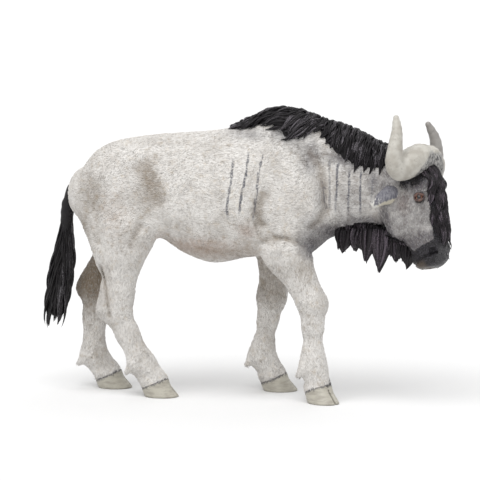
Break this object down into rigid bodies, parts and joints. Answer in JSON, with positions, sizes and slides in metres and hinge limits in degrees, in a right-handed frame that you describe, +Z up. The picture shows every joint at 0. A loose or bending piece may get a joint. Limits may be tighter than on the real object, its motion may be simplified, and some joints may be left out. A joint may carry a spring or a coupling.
{
  "type": "toy wildebeest figure",
  "caption": "Moulded and painted vinyl toy figure of a walking wildebeest with hooked horns, sculpted mane, beard and tail, standing on its hooves.",
  "frame": {"origin": "on the floor under the middle of the figure's box", "axes": "+X towards the head, +Y to the animal's left, +Z up"},
  "size_m": [0.1214, 0.0322, 0.0846],
  "materials": {
    "coat": "soft vinyl, hand-painted off-white and warm grey with blue-grey shading, fine fur strokes",
    "hair": "near-black paint over combed locks, dry-brushed light grey",
    "horn": "cream paint, satin",
    "hoof": "cream-grey paint with a dark line at the coronet",
    "eye": "orange-brown with a black pupil, glossy"
  },
  "bodies": {
    "root": {"torso": "coat", "neck": "coat", "head": "coat", "muzzle": "coat", "leg_hind_right": "coat", "leg_hind_left": "coat", "leg_front_right": "coat", "leg_front_left": "coat", "hoof_hind_right": "hoof", "hoof_hind_left": "hoof", "hoof_front_right": "hoof", "hoof_front_left": "hoof", "mane_withers": "hair", "mane_neck": "hair", "beard": "hair", "tail_dock": "coat", "tail_tuft": "hair", "horn_boss": "horn", "horn_right": "horn", "horn_left": "horn", "ear_right": "coat", "ear_left": "coat", "eye_right": "eye", "eye_left": "eye"}
  },
  "joints": []
}
